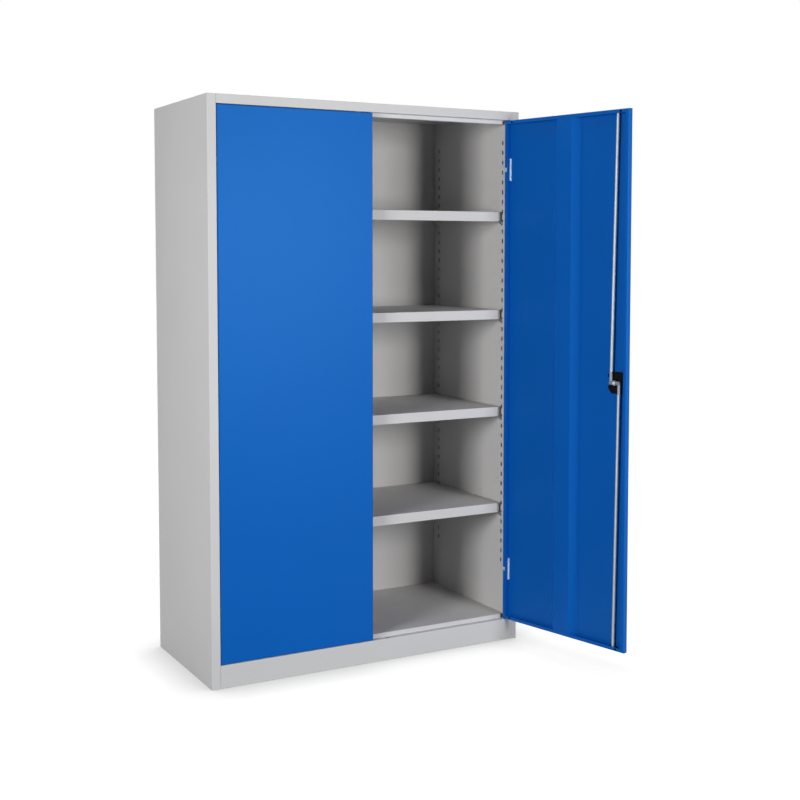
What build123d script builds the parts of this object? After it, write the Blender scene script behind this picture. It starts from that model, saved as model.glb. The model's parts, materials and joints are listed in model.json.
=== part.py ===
"""Steel tool cabinet with two hinged doors and four shelves, in millimetres.

The origin is the centre of the cabinet's footprint on the floor. +X runs to the right, the doors are on the
-Y side and +Z is up. The left door is shut, and the right door stands open at DOOR_OPEN_ANGLE. Every piece
of a door is drawn with the door shut and on the right, then swung open or mirrored to the left.
"""

import os

from build123d import *

os.makedirs("parts", exist_ok=True)

# Cabinet
CABINET_WIDTH = 1200.0
CABINET_DEPTH = 540.0
CABINET_HEIGHT = 1950.0

# Sheet steel
CARCASS_SHEET = 1.2
LINER_SHEET = 1.0
BACK_SHEET = 1.0
SHELF_SHEET = 1.2
DOOR_SHEET = 1.2
FOLD_RADIUS = 2.0  # outer radius of the folds in the carcass and the shelves

# Front frame
STILE_WIDTH = 31.0
FASCIA_HEIGHT = 31.0
PLINTH_HEIGHT = 78.0
REAR_FLANGE = 31.0
HEADER_STOP_DROP = 14.0  # the door stop below the fascia
HEADER_STOP_LEG = 20.0
FLOOR_RISE = 15.0  # the cabinet floor above the plinth's ledge
FLOOR_SKIRT = 25.0
STOP_END_GAP = 12.0  # from the end of a door stop to the side liner

# Hat-shaped support under the floor
SUPPORT_WIDTH = 60.0
SUPPORT_FLANGE = 15.0
SUPPORT_SHEET = 1.5

# Slots for the shelf clips, a row near the front and one near the back of each liner
SLOT_WIDTH = 8.0
SLOT_HEIGHT = 16.0
SLOT_BULGE = 3.0
SLOT_PITCH = 36.0
SLOT_ROW_INSET = 41.0
LOWEST_SLOT_RISE = 199.0  # above the cabinet floor
TOP_SLOT_MARGIN = 75.0  # at least this far below the fascia

# Shelves
LOWEST_SHELF_RISE = 379.0  # from the cabinet floor to the slots of the lowest shelf
SHELF_SPACING = 360.0  # each shelf hangs in the slot nearest to it
SHELF_EDGE_HEIGHT = 35.0
SHELF_EDGE_RETURN = 12.0
SHELF_SETBACK = 40.0
SHELF_BACK_GAP = 5.0
SHELF_SIDE_GAP = 5.0
SHELF_EDGE_STEP = 6.0  # the front edge is this much shorter than the shelf at each end
SHELF_SIDE_INSET = 6.0

# Shelf clips
CLIP_SIDE_CLEARANCE = 1.0
CLIP_TONGUE = 16.0
CLIP_RISE = 1.0
CLIP_NECK = 3.5
CLIP_LEG = 14.0
CLIP_LEG_THICKNESS = 3.0
CLIP_HOOK_THICKNESS = 2.0
CLIP_HOOK_RISE = 4.0
CLIP_HOOK_DROP = 12.0
CLIP_TIP_HEIGHT = 3.0

# Doors
DOOR_OPEN_ANGLE = 103.0
DOOR_THICKNESS = 20.0
DOOR_FOLD_RADIUS = 3.0
DOOR_END_GAP = 2.0  # above and below a door
DOOR_SIDE_GAP = 2.5  # between a door and its stile
CENTRE_GAP = 3.0  # between the two doors
STOP_GAP = 2.0  # between a shut door and the stop behind it
HINGE_LIP = 13.0  # folded on to the inside of the door's face
LOCK_LIP = 13.0
END_LIP = 13.0
LIP_RELIEF_RADIUS = 4.5  # round reliefs in the end lips
LIP_RELIEF_INSET = 35.0  # from the door's sides
LIP_RELIEF_DROP = 6.5  # from the door's ends

# Hat-shaped stiffener down the middle of a door
STIFFENER_FACE = 71.0
STIFFENER_FLANK = 20.0
STIFFENER_FLANGE = 12.0

# Hinges
UPPER_HINGE_DROP = 177.0  # from the door's top edge to the hinge's middle
LOWER_HINGE_RISE = 186.0
PIN_RADIUS = 2.5
PIN_PLAY = 0.05
PIN_HEAD_HEIGHT = 1.5
KNUCKLE_RADIUS = 4.0
KNUCKLE_END_GAP = 0.5
KNUCKLE_FACE_GAP = 0.3  # knuckle to the inside of the door's face
KNUCKLE_EDGE_GAP = 1.3  # knuckle to the inside of the door's edge
FRAME_KNUCKLE_HEIGHT = 14.0
DOOR_KNUCKLE_HEIGHT = 32.5
FRAME_LEAF_THICKNESS = 2.0
FRAME_LEAF_HEIGHT = 52.0
FRAME_LEAF_REACH = 13.0  # along the liner, behind the door stop
DOOR_LEAF_THICKNESS = 1.5
DOOR_LEAF_FOOT = 5.0  # over the inside of the door's face
DOOR_LEAF_RISE = 5.0  # up the wall of the folded lip
LEAF_NOTCH_GAP = 1.5
LEAF_SLOT_GAP = 0.5

# Lock on the right door
LOCK_SETBACK = 52.0  # from the door's free edge to the lock's axis
LOCK_CASE_HEIGHT = 75.0
LOCK_CASE_INNER_REACH = 19.0  # from the axis towards the hinges
LOCK_CASE_OUTER_REACH = 39.0  # from the axis towards the free edge
LOCK_PLATE = 2.0
LOCK_BLOCK_RISE = 6.2  # from the door's inner face
LOCK_BLOCK_HEIGHT = 32.0
LOCK_RAIL_REACH = 23.0  # from the axis to the rail's outer side
LOCK_RAIL_WIDTH = 9.5
LOCK_FOOT_WIDTH = 50.0
LOCK_FOOT_REACH = 36.0  # from the axis to the foot's point
LOCK_FOOT_HEIGHT = 30.0
LOCK_FOOT_SHOULDER = 6.0
LOCK_FOOT_SHOULDER_DROP = 11.0  # from the shoulder to the point
LOCK_FOOT_TOE = 15.0
LOCK_BOSS_RADIUS = 8.0
LOCK_BOSS_RISE = 10.8
LOCK_LUG_WIDTH = 6.0
LOCK_LUG_HEIGHT = 11.0
LOCK_LUG_RISE = 12.8
LOCK_LUG_GAP = 7.0  # from the upper rod's centre line to the lug
LOCK_LUG_LIFT = 24.0
LOCK_HOLE_RADIUS = 11.0
LOCK_SCREW_RADIUS = 2.0
LOCK_SCREW_IN_ROSETTE = 3.0  # how far a screw reaches into the rosette
LOCK_SCREW_SPACING = 48.0
ROSETTE_RADIUS = 32.0
ROSETTE_THICKNESS = 6.0
ROSETTE_EDGE_RADIUS = 2.0
SPINDLE_RADIUS = 6.0
SPINDLE_PLAY = 0.05
HANDLE_GAP = 0.3
HANDLE_HUB_RADIUS = 17.0
HANDLE_HUB_HEIGHT = 12.0
HANDLE_GRIP_LENGTH = 66.0
HANDLE_GRIP_WIDTH = 20.0
HANDLE_GRIP_HEIGHT = 15.0
HANDLE_EDGE_RADIUS = 3.0
SPINDLE_SOCKET = 8.0
CYLINDER_RADIUS = 7.0
CYLINDER_PLAY = 0.05
CYLINDER_DEPTH = 12.0
CYLINDER_STAND_OUT = 1.0
KEYWAY_WIDTH = 1.6
KEYWAY_LENGTH = 8.0
KEYWAY_DEPTH = 9.0

# Cam and locking rods
ARM_RADIUS = 17.0  # from the lock's axis to a rod's pivot, and the rods' travel
CAM_HUB_RADIUS = 9.0
CAM_ARM_END_RADIUS = 6.0
CAM_THICKNESS = 3.0
CAM_DISC_RADIUS = 8.0
CAM_DISC_HEIGHT = 1.6
CAM_PIVOT_RADIUS = 3.0
PIVOT_PLAY = 0.05
CAM_SCREW_RADIUS = 2.5
CAM_SCREW_DEPTH = 14.0
CAM_SCREW_HEAD_RADIUS = 4.5
CAM_SCREW_HEAD_HEIGHT = 2.8
CAM_SCREW_SLOT = 1.0
ROD_RADIUS = 6.0
ROD_GAP = 0.6  # between the rods and the lock case under them
ROD_EYE_THICKNESS = 3.0
ROD_EYE_GAP = 0.2
ROD_NECK = 38.0  # flattened length, from the pivot to where the rod is round
ROD_NECK_WIDTH = 10.0
ROD_SIDE_PLAY = 4.5
ROD_TIP_SETBACK = 5.0  # a drawn-in rod ends this far inside the door
GUIDE_WIDTH = 30.0
GUIDE_HEIGHT = 8.5
GUIDE_SETBACK = 3.0
GUIDE_DEPTH_PLAY = 0.5
KEEPER_SIDE_GAP = 1.0  # from a rod's way through the door to the slot's side
KEEPER_DEPTH_GAP = 0.5

# Slide bolts inside the left door
BOLT_LENGTH = 132.0
BOLT_RADIUS = 4.0
BOLT_SIDE_PLAY = 0.5
BOLT_KNOB_RADIUS = 5.0
BOLT_KNOB_FROM_END = 20.0
BOLT_KNOB_STAND_OUT = 6.0  # past the door's lips
BRACKET_WIDTH = 24.0
BRACKET_HEIGHT = 18.0
BRACKET_FROM_EDGE = 70.0
BRACKET_COVER = 5.5  # from the bolt's centre to the bracket's outer face
BOLT_PLAY = 0.05

# Planes of the carcass
half_width = CABINET_WIDTH / 2
front_y = -CABINET_DEPTH / 2
back_y = CABINET_DEPTH / 2
stile_x = half_width - STILE_WIDTH
stop_y = front_y + DOOR_THICKNESS + STOP_GAP
fascia_z = CABINET_HEIGHT - FASCIA_HEIGHT
floor_z = PLINTH_HEIGHT + FLOOR_RISE
inner_back_y = back_y - CARCASS_SHEET - BACK_SHEET
top_sheet_z = CABINET_HEIGHT - CARCASS_SHEET
top_side_x = half_width - CARCASS_SHEET
top_depth = (front_y + CARCASS_SHEET, back_y - CARCASS_SHEET)

# Planes of a shut right-hand door
door_edge_x = stile_x - DOOR_SIDE_GAP
free_edge_x = CENTRE_GAP / 2
door_bottom = PLINTH_HEIGHT + DOOR_END_GAP
door_top = fascia_z - DOOR_END_GAP
skin_y = front_y + DOOR_SHEET
lip_y = front_y + DOOR_THICKNESS
lip_inner_y = lip_y - DOOR_SHEET
lip_edge_x = door_edge_x - HINGE_LIP
channel_wall_x = (lip_edge_x, lip_edge_x + DOOR_SHEET)

# Hinge axis, and the liner that the frame leaf lies flat on
pin_x = door_edge_x - DOOR_SHEET - KNUCKLE_EDGE_GAP - KNUCKLE_RADIUS
pin_y = skin_y + KNUCKLE_FACE_GAP + KNUCKLE_RADIUS
liner_x = pin_x - KNUCKLE_RADIUS + FRAME_LEAF_THICKNESS
hinge_heights = [door_bottom + LOWER_HINGE_RISE, door_top - UPPER_HINGE_DROP]
door_knuckle_lift = FRAME_KNUCKLE_HEIGHT / 2 + KNUCKLE_END_GAP + DOOR_KNUCKLE_HEIGHT / 2
hinge_height = 2 * door_knuckle_lift + DOOR_KNUCKLE_HEIGHT
hinge_axis = Axis((pin_x, pin_y, 0), (0, 0, 1))
leaf_floor = (pin_y - KNUCKLE_RADIUS, pin_y - KNUCKLE_RADIUS + DOOR_LEAF_THICKNESS)

# Lock axis and the depths of the pieces stacked on it
lock_x = free_edge_x + LOCK_SETBACK
lock_z = (door_bottom + door_top) / 2
rod_y = skin_y + LOCK_BLOCK_RISE + ROD_GAP + ROD_RADIUS
cam_y = rod_y + ROD_EYE_THICKNESS / 2 + ROD_EYE_GAP
disc_y = cam_y + CAM_THICKNESS
screw_head_y = disc_y + CAM_DISC_HEIGHT
rosette_y = front_y - ROSETTE_THICKNESS
hub_y = rosette_y - HANDLE_GAP
grip_y = hub_y - HANDLE_HUB_HEIGHT
grip_face_y = grip_y - HANDLE_GRIP_HEIGHT
guide_y = (skin_y + lip_inner_y) / 2


def end_bore(radius, side_play):
    """The x and y spans of the opening that a rod or a bolt of this radius slides through."""
    half_x = radius + side_play
    half_y = radius + GUIDE_DEPTH_PLAY
    return (lock_x - half_x, lock_x + half_x), (guide_y - half_y, guide_y + half_y)


rod_bore = end_bore(ROD_RADIUS, ROD_SIDE_PLAY)
bolt_bore = end_bore(BOLT_RADIUS, BOLT_SIDE_PLAY)

# Shelf positions
slot_top_limit = fascia_z - TOP_SLOT_MARGIN
slot_count = int((slot_top_limit - floor_z - LOWEST_SLOT_RISE) // SLOT_PITCH) + 1
slot_heights = [floor_z + LOWEST_SLOT_RISE + SLOT_PITCH * row for row in range(slot_count)]
slot_rows = [front_y + SLOT_ROW_INSET, back_y - SLOT_ROW_INSET]
first_shelf_slot = round((LOWEST_SHELF_RISE - LOWEST_SLOT_RISE) / SLOT_PITCH)
slots_per_shelf = round(SHELF_SPACING / SLOT_PITCH)
shelf_slot_heights = slot_heights[first_shelf_slot::slots_per_shelf]
shelf_slot_heights.reverse()
shelf_half_width = liner_x - SHELF_SIDE_GAP


def save(name, part, swing=0.0):
    """Label a finished piece and write it, turned about the right door's hinge axis by swing degrees."""
    placed = part.rotate(hinge_axis, swing)
    placed.label = name
    export_step(placed, f"parts/{name}.step")


def mirrored(part):
    """The same piece for the left-hand side."""
    return part.mirror(Plane.YZ)


def block(x, y, z, mode=Mode.ADD):
    """A box between two planes along each axis."""
    spans = [sorted(span) for span in (x, y, z)]
    with Locations(tuple(sum(span) / 2 for span in spans)):
        Box(*[span[1] - span[0] for span in spans], mode=mode)


def round_bar(x, z, y, radius, mode=Mode.ADD):
    """A cylinder along Y between two depths."""
    with BuildSketch(Plane.XZ.offset(-max(y))) as section:
        with Locations((x, z)):
            Circle(radius)
    extrude(section.sketch, amount=max(y) - min(y), mode=mode)


def fold(plane, points, inner_side, thickness, span):
    """A folded sheet whose outer faces pass through the points, extruded over span along the normal."""
    with BuildSketch(plane.offset(span[0])) as section:
        with BuildLine():
            FilletPolyline(*points, radius=FOLD_RADIUS)
            offset(amount=thickness, side=inner_side)
        make_face()
    extrude(section.sketch, amount=span[1] - span[0])


def rounded_slab(x, y, z, radius):
    """A slab whose front and back rims are rounded."""
    with BuildPart() as slab:
        block(x, y, z)
        rims = slab.edges().group_by(Axis.Y)
        fillet(rims[0] + rims[-1], radius=radius)
    return slab.part


# ---- Carcass ----


def keeper_slots(z):
    """The slots that the rods and bolts enter, one behind each door's free edge."""
    bore_x, bore_y = rod_bore
    slot_y = (bore_y[0] - KEEPER_DEPTH_GAP, bore_y[1] + KEEPER_DEPTH_GAP)
    for side in (-1, 1):
        slot_x = (side * (bore_x[0] - KEEPER_SIDE_GAP), side * (bore_x[1] + KEEPER_SIDE_GAP))
        block(slot_x, slot_y, (z - FOLD_RADIUS, z + FOLD_RADIUS), mode=Mode.SUBTRACT)


with BuildPart() as side_panel:
    side_outline = [
        (stile_x, stop_y),
        (stile_x, front_y),
        (half_width, front_y),
        (half_width, back_y),
        (half_width - REAR_FLANGE, back_y),
    ]
    fold(Plane.XY, side_outline, Side.LEFT, CARCASS_SHEET, (0, CABINET_HEIGHT))
    block((stile_x, top_side_x), top_depth, (top_sheet_z, CABINET_HEIGHT), mode=Mode.SUBTRACT)
save("side_panel_right", side_panel.part)
save("side_panel_left", mirrored(side_panel.part))

with BuildSketch() as clip_slot:
    with BuildLine():
        rear = SLOT_WIDTH / 2
        end = SLOT_HEIGHT / 2
        shoulder = SLOT_BULGE - rear
        Polyline((shoulder, -end), (rear, -end), (rear, end), (shoulder, end))
        ThreePointArc((shoulder, end), (-rear, 0), (shoulder, -end))
    make_face()

with BuildPart() as side_liner:
    liner_flange_x = stile_x + CARCASS_SHEET
    liner_outline = [
        (liner_flange_x, stop_y),
        (liner_x, stop_y),
        (liner_x, inner_back_y),
        (liner_flange_x, inner_back_y),
    ]
    fold(Plane.XY, liner_outline, Side.RIGHT, LINER_SHEET, (0, top_sheet_z))
    with BuildSketch(Plane.YZ.offset(liner_x)):
        with Locations(*[(row, height) for row in slot_rows for height in slot_heights]):
            add(clip_slot.sketch)
    extrude(amount=LINER_SHEET, mode=Mode.SUBTRACT)
save("side_liner_right", side_liner.part)
save("side_liner_left", mirrored(side_liner.part))

with BuildPart() as back_panel:
    back_half_width = half_width - FOLD_RADIUS
    back_span = (inner_back_y, inner_back_y + BACK_SHEET)
    block((-back_half_width, back_half_width), back_span, (0, CABINET_HEIGHT - FOLD_RADIUS))
save("back_panel", back_panel.part)

with BuildPart() as top_panel:
    top_outline = [
        (back_y, fascia_z),
        (back_y, CABINET_HEIGHT),
        (front_y, CABINET_HEIGHT),
        (front_y, fascia_z),
        (stop_y, fascia_z),
    ]
    fold(Plane.YZ, top_outline, Side.LEFT, CARCASS_SHEET, (-stile_x, stile_x))
    block((-top_side_x, top_side_x), top_depth, (top_sheet_z, CABINET_HEIGHT))
    stop_half_width = liner_x - STOP_END_GAP
    header_outline = [
        (stop_y, fascia_z + CARCASS_SHEET),
        (stop_y, fascia_z - HEADER_STOP_DROP),
        (stop_y + HEADER_STOP_LEG, fascia_z - HEADER_STOP_DROP),
    ]
    fold(Plane.YZ, header_outline, Side.LEFT, CARCASS_SHEET, (-stop_half_width, stop_half_width))
    keeper_slots(fascia_z)
save("top_panel", top_panel.part)

with BuildPart() as plinth_front:
    plinth_outline = [
        (stop_y, 0),
        (front_y, 0),
        (front_y, PLINTH_HEIGHT),
        (stop_y, PLINTH_HEIGHT),
    ]
    fold(Plane.YZ, plinth_outline, Side.RIGHT, CARCASS_SHEET, (-stile_x, stile_x))
    keeper_slots(PLINTH_HEIGHT)
save("plinth_front", plinth_front.part)

with BuildPart() as base_shelf:
    floor_outline = [
        (stop_y, floor_z - FLOOR_SKIRT),
        (stop_y, floor_z),
        (inner_back_y, floor_z),
        (inner_back_y, floor_z - FLOOR_SKIRT),
    ]
    fold(Plane.YZ, floor_outline, Side.RIGHT, CARCASS_SHEET, (-stop_half_width, stop_half_width))
    floor_depth = (stop_y + FOLD_RADIUS, inner_back_y - FOLD_RADIUS)
    block((-liner_x, liner_x), floor_depth, (floor_z - CARCASS_SHEET, floor_z))
save("base_shelf", base_shelf.part)

with BuildPart() as floor_support:
    flange_z = floor_z - CARCASS_SHEET - SUPPORT_SHEET
    support_half = SUPPORT_WIDTH / 2
    support_outline = [
        (-support_half - SUPPORT_FLANGE, flange_z),
        (-support_half, flange_z),
        (-support_half, 0),
        (support_half, 0),
        (support_half, flange_z),
        (support_half + SUPPORT_FLANGE, flange_z),
    ]
    support_span = (FOLD_RADIUS - inner_back_y, -stop_y - FOLD_RADIUS)
    fold(Plane.XZ, support_outline, Side.LEFT, SUPPORT_SHEET, support_span)
save("floor_support", floor_support.part)


# ---- Shelves ----

shelf_front_y = front_y + SHELF_SETBACK
shelf_back_y = inner_back_y - SHELF_BACK_GAP
clip_width = SLOT_WIDTH - 2 * CLIP_SIDE_CLEARANCE


def shelf(top):
    """A folded shelf: a front edge with a return, a back edge, and a skirt set in from each end."""
    bottom = top - SHELF_EDGE_HEIGHT
    edge_half_width = shelf_half_width - SHELF_EDGE_STEP
    outline = [
        (shelf_front_y + SHELF_EDGE_RETURN, bottom),
        (shelf_front_y, bottom),
        (shelf_front_y, top),
        (shelf_back_y, top),
        (shelf_back_y, bottom),
    ]
    with BuildPart() as piece:
        fold(Plane.YZ, outline, Side.RIGHT, SHELF_SHEET, (-edge_half_width, edge_half_width))
        top_span = (shelf_front_y + FOLD_RADIUS, shelf_back_y - FOLD_RADIUS)
        block((-shelf_half_width, shelf_half_width), top_span, (top - SHELF_SHEET, top))
        skirt_span = (shelf_front_y + SHELF_SIDE_INSET, shelf_back_y - SHELF_SIDE_INSET)
        for side in (-1, 1):
            skirt_x = (side * (shelf_half_width - SHELF_SHEET), side * shelf_half_width)
            block(skirt_x, skirt_span, (bottom, top))
    return piece.part


def shelf_clips(slot_z):
    """Four clips: a tongue under the shelf's skirt, a leg on the liner and a hook behind it."""
    wall_back = liner_x + LINER_SHEET
    tongue_top = slot_z + CLIP_RISE
    outline = [
        (liner_x - CLIP_TONGUE, tongue_top),
        (wall_back, tongue_top),
        (wall_back, slot_z + CLIP_HOOK_RISE),
        (wall_back + CLIP_HOOK_THICKNESS, slot_z + CLIP_HOOK_RISE),
        (wall_back + CLIP_HOOK_THICKNESS, slot_z - CLIP_HOOK_DROP),
        (wall_back, slot_z - CLIP_HOOK_DROP),
        (wall_back, slot_z - CLIP_NECK),
        (liner_x, slot_z - CLIP_NECK),
        (liner_x, slot_z - CLIP_LEG),
        (liner_x - CLIP_LEG_THICKNESS, slot_z - CLIP_LEG),
        (liner_x - CLIP_TONGUE, tongue_top - CLIP_TIP_HEIGHT),
    ]
    with BuildPart() as clips:
        for row in slot_rows:
            with BuildSketch(Plane.XZ.offset(-row - clip_width / 2)):
                with BuildLine():
                    Polyline(*outline, close=True)
                make_face()
                mirror(about=Plane.YZ)
            extrude(amount=clip_width)
    return clips.part


for number, slot_z in enumerate(shelf_slot_heights, start=1):
    save(f"shelf_{number}", shelf(slot_z + CLIP_RISE + SHELF_EDGE_HEIGHT))
    save(f"shelf_clips_{number}", shelf_clips(slot_z))


# ---- Doors ----


def door_panel(with_lock):
    """A door folded into a shallow tray, with lips round its open side and a channel at its hinges."""
    inside = DOOR_SHEET
    cavity = rounded_slab(
        (free_edge_x + inside, door_edge_x - inside),
        (skin_y, lip_inner_y),
        (door_bottom + inside, door_top - inside),
        DOOR_FOLD_RADIUS - inside,
    )
    tray = rounded_slab(
        (free_edge_x, door_edge_x), (front_y, lip_y), (door_bottom, door_top), DOOR_FOLD_RADIUS
    )
    through_lip = (lip_inner_y, lip_y)
    window_x = (free_edge_x + LOCK_LIP, lip_edge_x)
    window_z = (door_bottom + END_LIP, door_top - END_LIP)
    with BuildPart() as panel:
        add(tray)
        add(cavity, mode=Mode.SUBTRACT)
        block(window_x, through_lip, window_z, mode=Mode.SUBTRACT)
        block(channel_wall_x, (skin_y, lip_inner_y), (door_bottom + inside, door_top - inside))
        for relief_x in (free_edge_x + LIP_RELIEF_INSET, door_edge_x - LIP_RELIEF_INSET):
            for relief_z in (door_bottom + LIP_RELIEF_DROP, door_top - LIP_RELIEF_DROP):
                round_bar(relief_x, relief_z, through_lip, LIP_RELIEF_RADIUS, mode=Mode.SUBTRACT)
        for height in hinge_heights:
            notch_half = FRAME_KNUCKLE_HEIGHT / 2 + LEAF_NOTCH_GAP
            notch_x = (channel_wall_x[1], door_edge_x)
            notch_y = (front_y + DOOR_FOLD_RADIUS, lip_y)
            block(notch_x, notch_y, (height - notch_half, height + notch_half), mode=Mode.SUBTRACT)
            for end in (-1, 1):
                slot_z = height + end * door_knuckle_lift
                slot_half = DOOR_KNUCKLE_HEIGHT / 2 + LEAF_SLOT_GAP
                slot_y = (skin_y, leaf_floor[1] + LEAF_SLOT_GAP)
                block(channel_wall_x, slot_y, (slot_z - slot_half, slot_z + slot_half), mode=Mode.SUBTRACT)
        hole_x, hole_y = rod_bore if with_lock else bolt_bore
        block(hole_x, hole_y, (door_bottom, door_bottom + DOOR_SHEET), mode=Mode.SUBTRACT)
        block(hole_x, hole_y, (door_top - DOOR_SHEET, door_top), mode=Mode.SUBTRACT)
        if with_lock:
            round_bar(lock_x, lock_z, (front_y, skin_y), LOCK_HOLE_RADIUS, mode=Mode.SUBTRACT)
            for lift in (-1, 1):
                screw_z = lock_z + lift * LOCK_SCREW_SPACING / 2
                round_bar(lock_x, screw_z, (front_y, skin_y), LOCK_SCREW_RADIUS, mode=Mode.SUBTRACT)
    return panel.part


save("right_door_panel", door_panel(with_lock=True), DOOR_OPEN_ANGLE)
save("left_door_panel", mirrored(door_panel(with_lock=False)))

with BuildPart() as stiffener:
    middle_x = (free_edge_x + door_edge_x) / 2
    face_half = STIFFENER_FACE / 2
    foot_half = face_half + STIFFENER_FLANK
    flange_y = skin_y + DOOR_SHEET
    stiffener_outline = [
        (middle_x - foot_half - STIFFENER_FLANGE, flange_y),
        (middle_x - foot_half, flange_y),
        (middle_x - face_half, lip_inner_y),
        (middle_x + face_half, lip_inner_y),
        (middle_x + foot_half, flange_y),
        (middle_x + foot_half + STIFFENER_FLANGE, flange_y),
    ]
    stiffener_span = (door_bottom + DOOR_FOLD_RADIUS, door_top - DOOR_FOLD_RADIUS)
    fold(Plane.XY, stiffener_outline, Side.RIGHT, DOOR_SHEET, stiffener_span)
save("right_door_stiffener", stiffener.part, DOOR_OPEN_ANGLE)
save("left_door_stiffener", mirrored(stiffener.part))


# ---- Hinges ----

with BuildPart() as frame_leaves:
    frame_leaf_x = (liner_x - FRAME_LEAF_THICKNESS, liner_x)
    frame_leaf_end = stop_y + FRAME_LEAF_REACH
    for height in hinge_heights:
        neck_z = (height - FRAME_KNUCKLE_HEIGHT / 2, height + FRAME_KNUCKLE_HEIGHT / 2)
        plate_z = (height - FRAME_LEAF_HEIGHT / 2, height + FRAME_LEAF_HEIGHT / 2)
        with Locations((pin_x, pin_y, height)):
            Cylinder(KNUCKLE_RADIUS, FRAME_KNUCKLE_HEIGHT)
        block(frame_leaf_x, (pin_y, frame_leaf_end), neck_z)
        block(frame_leaf_x, (stop_y, frame_leaf_end), plate_z)
        with Locations((pin_x, pin_y, height)):
            Cylinder(PIN_RADIUS, FRAME_KNUCKLE_HEIGHT, mode=Mode.SUBTRACT)
save("right_hinge_frame_leaves", frame_leaves.part)
save("left_hinge_frame_leaves", mirrored(frame_leaves.part))

with BuildPart() as door_leaves:
    riser_x = (lip_edge_x - DOOR_LEAF_THICKNESS, lip_edge_x)
    for height in hinge_heights:
        leaf_z = (height - hinge_height / 2, height + hinge_height / 2)
        block((lip_edge_x - DOOR_LEAF_FOOT, lip_edge_x), leaf_floor, leaf_z)
        block(riser_x, (leaf_floor[0], leaf_floor[0] + DOOR_LEAF_RISE), leaf_z)
        for end in (-1, 1):
            knuckle_z = height + end * door_knuckle_lift
            arm_z = (knuckle_z - DOOR_KNUCKLE_HEIGHT / 2, knuckle_z + DOOR_KNUCKLE_HEIGHT / 2)
            block((lip_edge_x, pin_x), leaf_floor, arm_z)
            with Locations((pin_x, pin_y, knuckle_z)):
                Cylinder(KNUCKLE_RADIUS, DOOR_KNUCKLE_HEIGHT)
                Cylinder(PIN_RADIUS + PIN_PLAY, DOOR_KNUCKLE_HEIGHT, mode=Mode.SUBTRACT)
save("right_hinge_door_leaves", door_leaves.part, DOOR_OPEN_ANGLE)
save("left_hinge_door_leaves", mirrored(door_leaves.part))

with BuildPart() as hinge_pins:
    pin_half = hinge_height / 2 + KNUCKLE_END_GAP
    for height in hinge_heights:
        with Locations((pin_x, pin_y, height)):
            Cylinder(PIN_RADIUS, 2 * pin_half)
        with Locations((pin_x, pin_y, height + pin_half + PIN_HEAD_HEIGHT / 2)):
            Cylinder(KNUCKLE_RADIUS, PIN_HEAD_HEIGHT)
save("right_hinge_pins", hinge_pins.part)
save("left_hinge_pins", mirrored(hinge_pins.part))


# ---- Guides for the rods and bolts ----


def guides(bore):
    """Two blocks behind the end lips, with the opening that the rods or bolts slide through."""
    guide_x = (lock_x - GUIDE_WIDTH / 2, lock_x + GUIDE_WIDTH / 2)
    bore_x, bore_y = bore
    with BuildPart() as pair:
        for edge_z, inward in ((door_bottom, 1), (door_top, -1)):
            near_z = edge_z + inward * GUIDE_SETBACK
            span_z = (near_z, near_z + inward * GUIDE_HEIGHT)
            block(guide_x, (skin_y, lip_inner_y), span_z)
            block(bore_x, bore_y, span_z, mode=Mode.SUBTRACT)
    return pair.part


save("right_rod_guides", guides(rod_bore), DOOR_OPEN_ANGLE)
save("left_bolt_guides", mirrored(guides(bolt_bore)))


# ---- Slide bolts of the left door ----


def bolt(end_z, inward):
    """A round bolt with a finger knob; inward is +1 or -1, the way from its free end to its knob."""
    knob_z = end_z + inward * (BOLT_LENGTH - BOLT_KNOB_FROM_END)
    with BuildPart() as piece:
        with Locations((lock_x, guide_y, end_z + inward * BOLT_LENGTH / 2)):
            Cylinder(BOLT_RADIUS, BOLT_LENGTH)
        round_bar(lock_x, knob_z, (guide_y, lip_y + BOLT_KNOB_STAND_OUT), BOLT_KNOB_RADIUS)
    return mirrored(piece.part)


save("left_upper_bolt", bolt(door_top - ROD_TIP_SETBACK, -1))
save("left_lower_bolt", bolt(door_bottom + ROD_TIP_SETBACK, 1))

with BuildPart() as brackets:
    for bracket_z in (door_bottom + BRACKET_FROM_EDGE, door_top - BRACKET_FROM_EDGE):
        span_z = (bracket_z - BRACKET_HEIGHT / 2, bracket_z + BRACKET_HEIGHT / 2)
        span_y = (skin_y, guide_y + BRACKET_COVER)
        block((lock_x - BRACKET_WIDTH / 2, lock_x + BRACKET_WIDTH / 2), span_y, span_z)
        with Locations((lock_x, guide_y, bracket_z)):
            Cylinder(BOLT_RADIUS + BOLT_PLAY, BRACKET_HEIGHT, mode=Mode.SUBTRACT)
save("left_bolt_brackets", mirrored(brackets.part))


# ---- Lock of the right door ----

upper_pivot_x = lock_x + ARM_RADIUS
lower_pivot_x = lock_x - ARM_RADIUS

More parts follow.
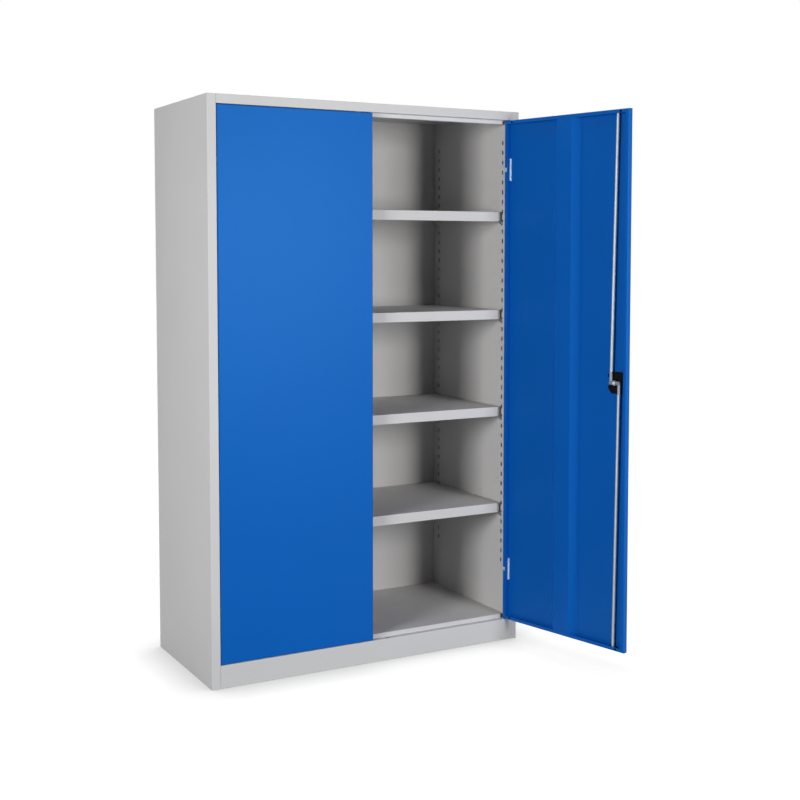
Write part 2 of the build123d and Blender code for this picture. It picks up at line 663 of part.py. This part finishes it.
with BuildPart() as lock_case:
    case_x = (lock_x - LOCK_CASE_OUTER_REACH, lock_x + LOCK_CASE_INNER_REACH)
    case_z = (lock_z - LOCK_CASE_HEIGHT / 2, lock_z + LOCK_CASE_HEIGHT / 2)
    block_y = (skin_y, skin_y + LOCK_BLOCK_RISE)
    plate_y = (skin_y, skin_y + LOCK_PLATE)
    rail_x = (lock_x - LOCK_RAIL_REACH, lock_x - LOCK_RAIL_REACH + LOCK_RAIL_WIDTH)
    block((rail_x[0], case_x[1]), plate_y, case_z)
    block(case_x, block_y, (case_z[1] - LOCK_BLOCK_HEIGHT, case_z[1]))
    block(rail_x, block_y, case_z)
    foot_x = lock_x + LOCK_FOOT_REACH
    foot_top = case_z[0] + LOCK_FOOT_HEIGHT
    with BuildSketch(Plane.XZ.offset(-block_y[1])):
        with BuildLine():
            Polyline(
                (foot_x - LOCK_FOOT_WIDTH, case_z[0]),
                (foot_x - LOCK_FOOT_TOE, case_z[0]),
                (foot_x, foot_top - LOCK_FOOT_SHOULDER_DROP),
                (foot_x - LOCK_FOOT_SHOULDER, foot_top),
                (foot_x - LOCK_FOOT_WIDTH, foot_top),
                close=True,
            )
        make_face()
    extrude(amount=LOCK_BLOCK_RISE)
    lug_x = (upper_pivot_x + LOCK_LUG_GAP, upper_pivot_x + LOCK_LUG_GAP + LOCK_LUG_WIDTH)
    lug_z = (lock_z + LOCK_LUG_LIFT - LOCK_LUG_HEIGHT / 2, lock_z + LOCK_LUG_LIFT + LOCK_LUG_HEIGHT / 2)
    block((lock_x, lug_x[1]), plate_y, lug_z)
    block(lug_x, (skin_y, skin_y + LOCK_LUG_RISE), lug_z)
    round_bar(lock_x, lock_z, (skin_y, skin_y + LOCK_BOSS_RISE), LOCK_BOSS_RADIUS)
    bore = SPINDLE_RADIUS + SPINDLE_PLAY
    round_bar(lock_x, lock_z, (skin_y, skin_y + LOCK_BOSS_RISE), bore, mode=Mode.SUBTRACT)
    for lift in (-1, 1):
        screw_z = lock_z + lift * LOCK_SCREW_SPACING / 2
        round_bar(lock_x, screw_z, block_y, LOCK_SCREW_RADIUS, mode=Mode.SUBTRACT)
save("lock_case", lock_case.part, DOOR_OPEN_ANGLE)

with BuildPart() as lock_rosette:
    round_bar(lock_x, lock_z, (rosette_y, front_y), ROSETTE_RADIUS)
    fillet(lock_rosette.edges().group_by(Axis.Y)[0], radius=ROSETTE_EDGE_RADIUS)
    round_bar(lock_x, lock_z, (rosette_y, front_y), bore, mode=Mode.SUBTRACT)
    screw_seat_y = front_y - LOCK_SCREW_IN_ROSETTE
    for lift in (-1, 1):
        screw_z = lock_z + lift * LOCK_SCREW_SPACING / 2
        round_bar(lock_x, screw_z, (screw_seat_y, front_y), LOCK_SCREW_RADIUS, mode=Mode.SUBTRACT)
save("lock_rosette", lock_rosette.part, DOOR_OPEN_ANGLE)

with BuildPart() as lock_screws:
    for lift in (-1, 1):
        screw_z = lock_z + lift * LOCK_SCREW_SPACING / 2
        round_bar(lock_x, screw_z, (screw_seat_y, block_y[1]), LOCK_SCREW_RADIUS)
save("lock_screws", lock_screws.part, DOOR_OPEN_ANGLE)

with BuildPart() as lock_handle:
    round_bar(lock_x, lock_z, (grip_y, hub_y), HANDLE_HUB_RADIUS)
    with BuildSketch(Plane.XZ.offset(-grip_y)):
        with Locations((lock_x, lock_z)):
            SlotOverall(HANDLE_GRIP_LENGTH, HANDLE_GRIP_WIDTH, rotation=90)
    extrude(amount=HANDLE_GRIP_HEIGHT)
    fillet(lock_handle.edges().group_by(Axis.Y)[0], radius=HANDLE_EDGE_RADIUS)
    round_bar(lock_x, lock_z, (hub_y - SPINDLE_SOCKET, hub_y), SPINDLE_RADIUS, mode=Mode.SUBTRACT)
    socket_y = (grip_face_y, grip_face_y + CYLINDER_DEPTH)
    round_bar(lock_x, lock_z, socket_y, CYLINDER_RADIUS + CYLINDER_PLAY, mode=Mode.SUBTRACT)
save("lock_handle", lock_handle.part, DOOR_OPEN_ANGLE)

with BuildPart() as lock_cylinder:
    cylinder_face_y = grip_face_y - CYLINDER_STAND_OUT
    cylinder_end_y = grip_face_y + CYLINDER_DEPTH - HANDLE_GAP
    round_bar(lock_x, lock_z, (cylinder_face_y, cylinder_end_y), CYLINDER_RADIUS)
    keyway_x = (lock_x - KEYWAY_WIDTH / 2, lock_x + KEYWAY_WIDTH / 2)
    keyway_z = (lock_z - KEYWAY_LENGTH / 2, lock_z + KEYWAY_LENGTH / 2)
    block(keyway_x, (cylinder_face_y, cylinder_face_y + KEYWAY_DEPTH), keyway_z, mode=Mode.SUBTRACT)
save("lock_cylinder", lock_cylinder.part, DOOR_OPEN_ANGLE)

with BuildPart() as lock_spindle:
    round_bar(lock_x, lock_z, (hub_y - SPINDLE_SOCKET, cam_y), SPINDLE_RADIUS)
    screw_end_y = screw_head_y - CAM_SCREW_DEPTH
    round_bar(lock_x, lock_z, (screw_end_y, cam_y), CAM_SCREW_RADIUS, mode=Mode.SUBTRACT)
save("lock_spindle", lock_spindle.part, DOOR_OPEN_ANGLE)

with BuildPart() as lock_cam:
    with BuildSketch(Plane.XZ.offset(-disc_y)):
        with Locations((lock_x, lock_z)):
            SlotCenterToCenter(2 * ARM_RADIUS, 2 * CAM_ARM_END_RADIUS)
            Circle(CAM_HUB_RADIUS)
    extrude(amount=CAM_THICKNESS)
    round_bar(lock_x, lock_z, (disc_y, screw_head_y), CAM_DISC_RADIUS)
    pivot_end_y = rod_y - ROD_EYE_THICKNESS / 2
    for pivot_x in (lower_pivot_x, upper_pivot_x):
        round_bar(pivot_x, lock_z, (pivot_end_y, cam_y), CAM_PIVOT_RADIUS)
    round_bar(lock_x, lock_z, (cam_y, screw_head_y), CAM_SCREW_RADIUS, mode=Mode.SUBTRACT)
save("lock_cam", lock_cam.part, DOOR_OPEN_ANGLE)

with BuildPart() as cam_screw:
    round_bar(lock_x, lock_z, (screw_end_y, screw_head_y), CAM_SCREW_RADIUS)
    head_face_y = screw_head_y + CAM_SCREW_HEAD_HEIGHT
    round_bar(lock_x, lock_z, (screw_head_y, head_face_y), CAM_SCREW_HEAD_RADIUS)
    slot_x = (lock_x - CAM_SCREW_HEAD_RADIUS, lock_x + CAM_SCREW_HEAD_RADIUS)
    slot_z = (lock_z - CAM_SCREW_SLOT / 2, lock_z + CAM_SCREW_SLOT / 2)
    block(slot_x, (head_face_y - CAM_SCREW_SLOT, head_face_y), slot_z, mode=Mode.SUBTRACT)
save("cam_screw", cam_screw.part, DOOR_OPEN_ANGLE)


# ---- Locking rods ----


def locking_rod(pivot_x, up):
    """A rod from the cam's arm to the guide at the door's end; up is 1 for the upper rod, -1 for the lower."""
    end_z = door_top - ROD_TIP_SETBACK if up > 0 else door_bottom + ROD_TIP_SETBACK
    pivot = Vector(pivot_x, rod_y, lock_z)
    tip = Vector(lock_x, guide_y, end_z)
    direction = (tip - pivot).normalized()
    reach = (tip - pivot).length
    start = pivot + direction * ROD_NECK
    eye_y = (rod_y - ROD_EYE_THICKNESS / 2, rod_y + ROD_EYE_THICKNESS / 2)
    with BuildPart() as rod:
        with BuildSketch(Plane(origin=start, z_dir=direction)):
            Circle(ROD_RADIUS)
        extrude(amount=reach - ROD_NECK)
        neck_x = (pivot_x - ROD_NECK_WIDTH / 2, pivot_x + ROD_NECK_WIDTH / 2)
        block(neck_x, eye_y, (lock_z, lock_z + up * (ROD_NECK + ROD_EYE_THICKNESS)))
        round_bar(pivot_x, lock_z, eye_y, CAM_ARM_END_RADIUS)
        round_bar(pivot_x, lock_z, eye_y, CAM_PIVOT_RADIUS + PIVOT_PLAY, mode=Mode.SUBTRACT)
    return rod.part


save("upper_rod", locking_rod(upper_pivot_x, 1), DOOR_OPEN_ANGLE)
save("lower_rod", locking_rod(lower_pivot_x, -1), DOOR_OPEN_ANGLE)
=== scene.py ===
"""The looks of the steel tool cabinet: materials, light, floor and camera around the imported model."""

import json
import math

import bpy
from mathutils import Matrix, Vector

# Paint and metal colours, linear red, green and blue
BODY_GREY = (0.60, 0.60, 0.60)
INNER_GREY = (0.62, 0.61, 0.60)
DOOR_BLUE = (0.002, 0.107, 0.46)
DOOR_GLOSS_TINT = (0.2, 0.59, 1.0)
ZINC = (0.35, 0.40, 0.445)
BRIGHT_ZINC = (0.64, 0.74, 0.84)
CAST_ZINC = (0.27, 0.28, 0.28)
BLACK_PLASTIC = (0.004, 0.004, 0.0045)
BLACK_STEEL = (0.01, 0.01, 0.01)
NICKEL = (0.78, 0.78, 0.80)
WHITE = (1.0, 1.0, 1.0)

# Nearly all of a noise's values lie between these two
NOISE_SPAN = (0.3, 0.7)

# How many drawing marks a metre the plated steel has across and along its grain
ROD_GRAIN = (700.0, 700.0, 12.0)
LEAF_GRAIN = (300.0, 300.0, 60.0)

# Floor and world
FLOOR_SIZE = 160.0
FLOOR_BOUNCE = 0.40
FLOOR_SHADOW_TAKING = 0.07
# The contact shadow is painted: the floor's glow is dimmed where something stands close by.
CONTACT_SHADOW_REACH = 0.17
CONTACT_SHADOW_SAMPLES = 16
CONTACT_SHADOW_OPENNESS = (0.45, 0.98)  # the share of open air over the floor from darkest to white
FLOOR_GLOW = (0.60, 1.0)  # how strongly the floor is seen at those two shares
AMBIENT_STRENGTH = 0.01

# Lamps: name, place, target, width, height and power, in metres and watts
SOFTBOXES = [
    ("left_softbox", (-4.45, -2.25, 1.73), (0.0, -0.27, 1.1), 1.4, 1.4, 148.0),
    ("right_softbox", (1.4, -4.75, 1.65), (0.0, -0.27, 1.2), 1.1, 1.67, 142.0),
    ("top_softbox", (0.0, 0.35, 4.3), (0.0, 0.2, 1.95), 1.6, 1.4, 38.0),
    ("rear_softbox", (3.2, 3.4, 1.9), (0.2, 0.0, 1.0), 1.3, 1.6, 170.0),
]

# Camera: it stands in front and to the left, and looks slightly down
CAMERA_PLACE = (-2.03, -4.155, 1.443)
CAMERA_DOWNWARD_PITCH = 3.5
CAMERA_TURN_TO_RIGHT = 28.79
CAMERA_SENSOR_WIDTH = 36.0
CAMERA_LENS = 57.1
CAMERA_SHIFT = -0.0887

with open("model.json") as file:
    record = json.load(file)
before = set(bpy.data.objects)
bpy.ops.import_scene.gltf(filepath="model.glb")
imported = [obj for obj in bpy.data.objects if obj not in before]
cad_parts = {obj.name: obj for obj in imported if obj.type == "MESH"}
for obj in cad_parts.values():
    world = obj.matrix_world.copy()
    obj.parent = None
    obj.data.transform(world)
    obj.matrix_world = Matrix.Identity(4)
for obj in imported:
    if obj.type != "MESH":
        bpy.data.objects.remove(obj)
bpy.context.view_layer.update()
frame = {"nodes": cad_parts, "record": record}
nodes = frame["nodes"]


# ---- Shader helpers ----


def new_material(name):
    """A material, with its node tree, its Principled shader and the object's coordinates."""
    material = bpy.data.materials.new(name)
    material.use_nodes = True
    tree = material.node_tree
    shader = tree.nodes["Principled BSDF"]
    coordinates = tree.nodes.new("ShaderNodeTexCoord").outputs["Object"]
    return material, tree, shader, coordinates


def stretch(tree, coordinates, scale):
    """The coordinates multiplied by a scale along each axis."""
    mapping = tree.nodes.new("ShaderNodeMapping")
    mapping.inputs["Scale"].default_value = scale
    tree.links.new(coordinates, mapping.inputs["Vector"])
    return mapping.outputs["Vector"]


def noise(tree, coordinates, scale, detail=2.0, roughness=0.5):
    """Noise of about scale spots a metre, around 0.5."""
    texture = tree.nodes.new("ShaderNodeTexNoise")
    texture.inputs["Scale"].default_value = scale
    texture.inputs["Detail"].default_value = detail
    texture.inputs["Roughness"].default_value = roughness
    tree.links.new(coordinates, texture.inputs["Vector"])
    return texture.outputs["Fac"]


def remap(tree, value, low, high, span=NOISE_SPAN):
    """The value, taken from its own span to the one from low to high, and held inside that."""
    node = tree.nodes.new("ShaderNodeMapRange")
    node.inputs["From Min"].default_value = span[0]
    node.inputs["From Max"].default_value = span[1]
    node.inputs["To Min"].default_value = low
    node.inputs["To Max"].default_value = high
    tree.links.new(value, node.inputs["Value"])
    return node.outputs["Result"]


def uneven_colour(tree, pattern, colour, darkest, lightest):
    """A colour that varies with a noise pattern between two multiples of itself."""
    ramp = tree.nodes.new("ShaderNodeValToRGB")
    ends = zip(ramp.color_ramp.elements, NOISE_SPAN, (darkest, lightest))
    for element, position, factor in ends:
        element.position = position
        element.color = (*[min(1.0, channel * factor) for channel in colour], 1.0)
    tree.links.new(pattern, ramp.inputs["Fac"])
    return ramp.outputs["Color"]


def bump(tree, height, strength, distance, under=None):
    """A bumped normal, on top of another one if it is given."""
    node = tree.nodes.new("ShaderNodeBump")
    node.inputs["Strength"].default_value = strength
    node.inputs["Distance"].default_value = distance
    tree.links.new(height, node.inputs["Height"])
    if under is not None:
        tree.links.new(under, node.inputs["Normal"])
    return node.outputs["Normal"]


# ---- Materials ----


def powder_coat(name, colour, roughness, specular, tint=WHITE):
    """Baked powder paint: a fine orange-peel skin, slightly uneven in tone and gloss."""
    material, tree, shader, coordinates = new_material(name)
    broad = noise(tree, coordinates, 2.6, detail=1.0)
    tree.links.new(uneven_colour(tree, broad, colour, 0.98, 1.02), shader.inputs["Base Color"])
    patches = noise(tree, coordinates, 90.0, detail=3.0)
    gloss = remap(tree, patches, roughness - 0.012, roughness + 0.012)
    tree.links.new(gloss, shader.inputs["Roughness"])
    shader.inputs["Specular IOR Level"].default_value = specular
    shader.inputs["Specular Tint"].default_value = (*tint, 1.0)
    peel = noise(tree, coordinates, 520.0, detail=1.5, roughness=0.4)
    waves = noise(tree, coordinates, 24.0, detail=1.0)
    skin = bump(tree, peel, 0.12, 0.0004, under=bump(tree, waves, 0.02, 0.002))
    tree.links.new(skin, shader.inputs["Normal"])
    return material


def plated_steel(name, colour, roughness, grain, metallic=1.0):
    """Zinc-plated steel with drawing marks along its grain and a slightly cloudy plate."""
    material, tree, shader, coordinates = new_material(name)
    clouds = noise(tree, coordinates, 60.0, detail=3.0)
    tree.links.new(uneven_colour(tree, clouds, colour, 0.93, 1.05), shader.inputs["Base Color"])
    shader.inputs["Metallic"].default_value = metallic
    marks = noise(tree, stretch(tree, coordinates, grain), 1.0, detail=4.0, roughness=0.6)
    gloss = remap(tree, marks, roughness - 0.06, roughness + 0.06)
    tree.links.new(gloss, shader.inputs["Roughness"])
    tree.links.new(bump(tree, marks, 0.15, 0.0002), shader.inputs["Normal"])
    return material


def cast_metal(name, colour):
    """Die-cast zinc, satin and finely pitted."""
    material, tree, shader, coordinates = new_material(name)
    clouds = noise(tree, coordinates, 180.0, detail=4.0)
    tree.links.new(uneven_colour(tree, clouds, colour, 0.85, 1.1), shader.inputs["Base Color"])
    shader.inputs["Metallic"].default_value = 1.0
    tree.links.new(remap(tree, clouds, 0.38, 0.52), shader.inputs["Roughness"])
    pits = noise(tree, coordinates, 1500.0, detail=3.0)
    tree.links.new(bump(tree, pits, 0.25, 0.0002), shader.inputs["Normal"])
    return material


def moulded_plastic(name, colour):
    """Black moulded plastic with a fine spark-eroded grain."""
    material, tree, shader, coordinates = new_material(name)
    clouds = noise(tree, coordinates, 70.0, detail=2.0)
    tree.links.new(uneven_colour(tree, clouds, colour, 0.85, 1.2), shader.inputs["Base Color"])
    tree.links.new(remap(tree, clouds, 0.45, 0.55), shader.inputs["Roughness"])
    shader.inputs["Specular IOR Level"].default_value = 0.06
    grain = noise(tree, coordinates, 1800.0, detail=2.0)
    tree.links.new(bump(tree, grain, 0.2, 0.0002), shader.inputs["Normal"])
    return material


def polished_nickel(name, colour):
    """Nickel plate, polished, with light handling marks."""
    material, tree, shader, coordinates = new_material(name)
    marks = noise(tree, coordinates, 400.0, detail=4.0, roughness=0.7)
    tree.links.new(uneven_colour(tree, marks, colour, 0.96, 1.0), shader.inputs["Base Color"])
    shader.inputs["Metallic"].default_value = 1.0
    tree.links.new(remap(tree, marks, 0.12, 0.24), shader.inputs["Roughness"])
    return material


finishes = {
    "body_grey": powder_coat("body_grey", BODY_GREY, roughness=0.54, specular=0.30),
    "inner_grey": powder_coat("inner_grey", INNER_GREY, roughness=0.5, specular=0.10),
    "door_blue": powder_coat("door_blue", DOOR_BLUE, roughness=0.42, specular=0.27, tint=DOOR_GLOSS_TINT),
    "zinc": plated_steel("zinc", ZINC, roughness=0.56, grain=ROD_GRAIN),
    "bright_zinc": plated_steel("bright_zinc", BRIGHT_ZINC, roughness=0.45, grain=LEAF_GRAIN, metallic=0.4),
    "cast_zinc": cast_metal("cast_zinc", CAST_ZINC),
    "black_plastic": moulded_plastic("black_plastic", BLACK_PLASTIC),
    "black_steel": powder_coat("black_steel", BLACK_STEEL, roughness=0.4, specular=0.2),
    "cylinder_chrome": polished_nickel("cylinder_chrome", NICKEL),
}
for subpart in frame["record"]["subparts"]:
    piece = nodes[subpart["node"]]
    if not piece.material_slots:
        piece.data.materials.append(None)
    for slot in piece.material_slots:
        slot.link = "OBJECT"
        slot.material = finishes[subpart["material_slot"]]


# ---- Floor and world ----


def seen_directly(tree):
    """1 where a camera, glossy or transmitted ray looks, so that mirrors show the same white."""
    path = tree.nodes.new("ShaderNodeLightPath")
    total = path.outputs["Is Camera Ray"]
    for name in ("Is Glossy Ray", "Is Transmission Ray"):
        larger = tree.nodes.new("ShaderNodeMath")
        larger.operation = "MAXIMUM"
        tree.links.new(total, larger.inputs[0])
        tree.links.new(path.outputs[name], larger.inputs[1])
        total = larger.outputs["Value"]
    return total


def light_and_show(tree, output_kind, lighting, shown):
    """One shader for the light that goes on to other surfaces, and another for how it is seen."""
    output = tree.nodes.new(output_kind)
    choice = tree.nodes.new("ShaderNodeMixShader")
    tree.links.new(seen_directly(tree), choice.inputs["Fac"])
    tree.links.new(lighting, choice.inputs[1])
    tree.links.new(shown, choice.inputs[2])
    tree.links.new(choice.outputs["Shader"], output.inputs["Surface"])


def diffuse(tree, whiteness):
    """A matt surface that sends back this share of the light."""
    node = tree.nodes.new("ShaderNodeBsdfDiffuse")
    node.inputs["Color"].default_value = (whiteness, whiteness, whiteness, 1.0)
    return node.outputs["BSDF"]


def floor_paint():
    """Pale floor: seen as white where nothing is near, and darker close to what stands on it, a contact
    shadow painted into its glow by ambient occlusion.
    """
    material = bpy.data.materials.new("floor")
    material.use_nodes = True
    tree = material.node_tree
    tree.nodes.clear()
    openness = tree.nodes.new("ShaderNodeAmbientOcclusion")
    openness.samples = CONTACT_SHADOW_SAMPLES
    openness.inputs["Distance"].default_value = CONTACT_SHADOW_REACH
    glow = tree.nodes.new("ShaderNodeEmission")
    # The glow is dimmed by ambient occlusion: a painted contact shadow under the object.
    strength = remap(tree, openness.outputs["AO"], *FLOOR_GLOW, span=CONTACT_SHADOW_OPENNESS)
    tree.links.new(strength, glow.inputs["Strength"])
    shown = tree.nodes.new("ShaderNodeAddShader")
    tree.links.new(diffuse(tree, FLOOR_SHADOW_TAKING), shown.inputs[0])
    tree.links.new(glow.outputs["Emission"], shown.inputs[1])
    bounce = diffuse(tree, FLOOR_BOUNCE)
    light_and_show(tree, "ShaderNodeOutputMaterial", bounce, shown.outputs["Shader"])
    return material


bpy.ops.mesh.primitive_plane_add(size=FLOOR_SIZE, location=(0, 0, 0))
floor = bpy.context.active_object
floor.name = "floor"
floor.data.materials.append(floor_paint())


def white_world():
    """A world that is seen as white and gives only a trace of light."""
    world = bpy.data.worlds.new("studio")
    world.use_nodes = True
    tree = world.node_tree
    tree.nodes.clear()
    backgrounds = []
    for strength in (AMBIENT_STRENGTH, 1.0):
        background = tree.nodes.new("ShaderNodeBackground")
        background.inputs["Color"].default_value = (*WHITE, 1.0)
        background.inputs["Strength"].default_value = strength
        backgrounds.append(background.outputs["Background"])
    light_and_show(tree, "ShaderNodeOutputWorld", *backgrounds)
    return world


scene = bpy.context.scene
scene.world = white_world()


# ---- Lamps ----

for name, place, target, width, height, power in SOFTBOXES:
    light = bpy.data.lights.new(name, "AREA")
    light.shape = "RECTANGLE"
    light.size, light.size_y = width, height
    light.energy = power
    lamp = bpy.data.objects.new(name, light)
    lamp.location = place
    aim = Vector(target) - Vector(place)
    lamp.rotation_euler = aim.to_track_quat("-Z", "Y").to_euler()
    scene.collection.objects.link(lamp)


# ---- Camera ----

camera_data = bpy.data.cameras.new("camera")
camera_data.sensor_width = CAMERA_SENSOR_WIDTH
camera_data.lens = CAMERA_LENS
camera_data.shift_y = CAMERA_SHIFT
camera = bpy.data.objects.new("camera", camera_data)
camera.location = CAMERA_PLACE
tilt = math.radians(90.0 - CAMERA_DOWNWARD_PITCH)
camera.rotation_euler = (tilt, 0.0, -math.radians(CAMERA_TURN_TO_RIGHT))
scene.collection.objects.link(camera)
scene.camera = camera
scene.view_settings.view_transform = "Standard"
